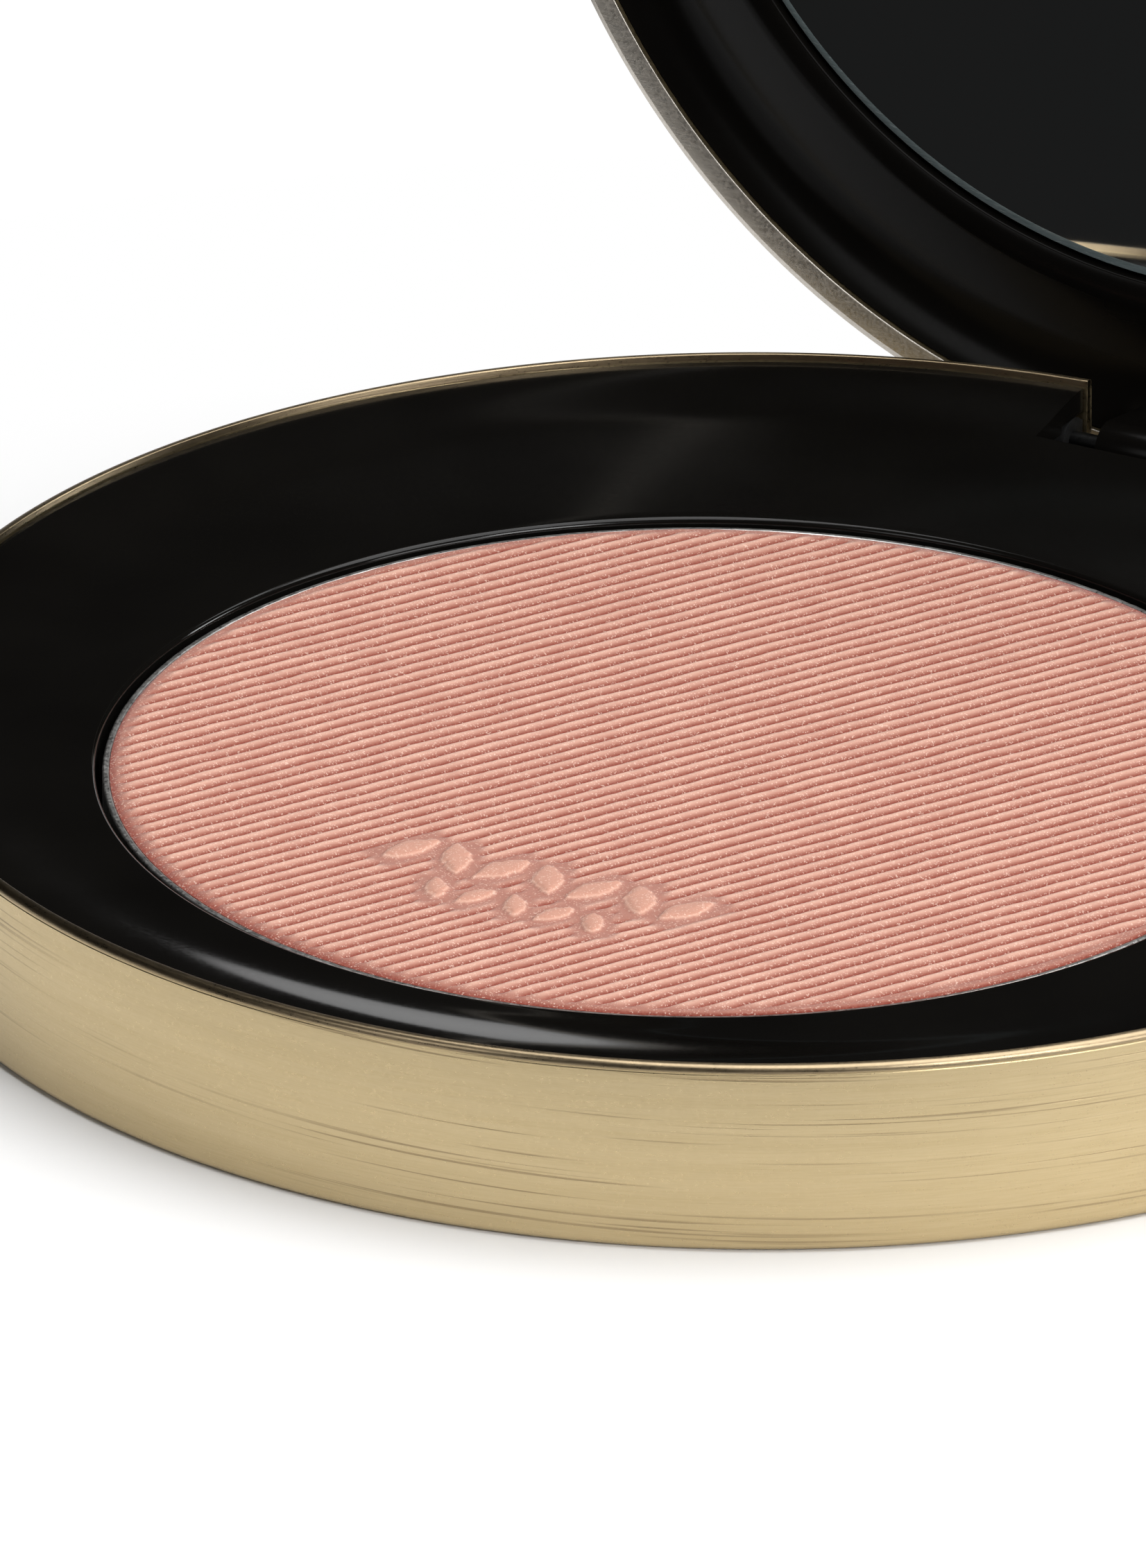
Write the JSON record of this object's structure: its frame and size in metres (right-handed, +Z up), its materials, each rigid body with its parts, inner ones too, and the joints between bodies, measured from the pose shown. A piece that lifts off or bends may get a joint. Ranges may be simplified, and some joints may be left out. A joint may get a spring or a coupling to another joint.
{
  "type": "powder compact",
  "caption": "Round hinged powder compact with a mirror lid, a glossy dish and an off-centre pan of ribbed pressed powder.",
  "frame": {"origin": "centre of the flat underside of the base", "axes": "+Z up, +Y towards the hinge at the back, +X along the hinge line; the lid is open at rest"},
  "size_m": [0.07, 0.0887, 0.0726],
  "materials": {
    "brushed_gold": "fine brushing round the case, satin",
    "lid_gold": "fine brushing round the lid, satin",
    "gloss_black": "polished",
    "gloss_black_lid": "polished",
    "lacquer": "lacquered",
    "black_plastic": "satin moulded",
    "cover_black": "fine matt texture",
    "label": "matt paper",
    "steel": "plain",
    "pin_steel": "blackened",
    "magnet": "nickel plated",
    "pan_aluminium": "drawn, satin",
    "powder": "pressed powder, matt with fine shimmer",
    "mirror": "silvered glass",
    "tape": "foam tape"
  },
  "bodies": {
    "base": {"base_ring": "brushed_gold", "base_plate": "cover_black", "base_label": "label", "base_chassis": "black_plastic", "weight_plate": "steel", "base_insert": "gloss_black", "pan_magnets": "magnet", "pan_keeper": "steel", "refill_pan": "pan_aluminium", "powder_cake": "powder", "base_magnet": "magnet", "hinge_pin": "pin_steel"},
    "lid": {"lid_ring": "lid_gold", "lid_cap": "lacquer", "cap_tape": "tape", "lid_stiffener": "steel", "lid_frame": "gloss_black_lid", "mirror_glass": "mirror", "mirror_tape": "tape", "lid_magnet": "magnet"}
  },
  "joints": [
    {"name": "lid_hinge", "type": "hinge", "parent": "base", "child": "lid", "pos_m": [0, 0.0335, 0.0056], "axis": [-1, 0, 0], "range_deg": [-100, 3]}
  ]
}
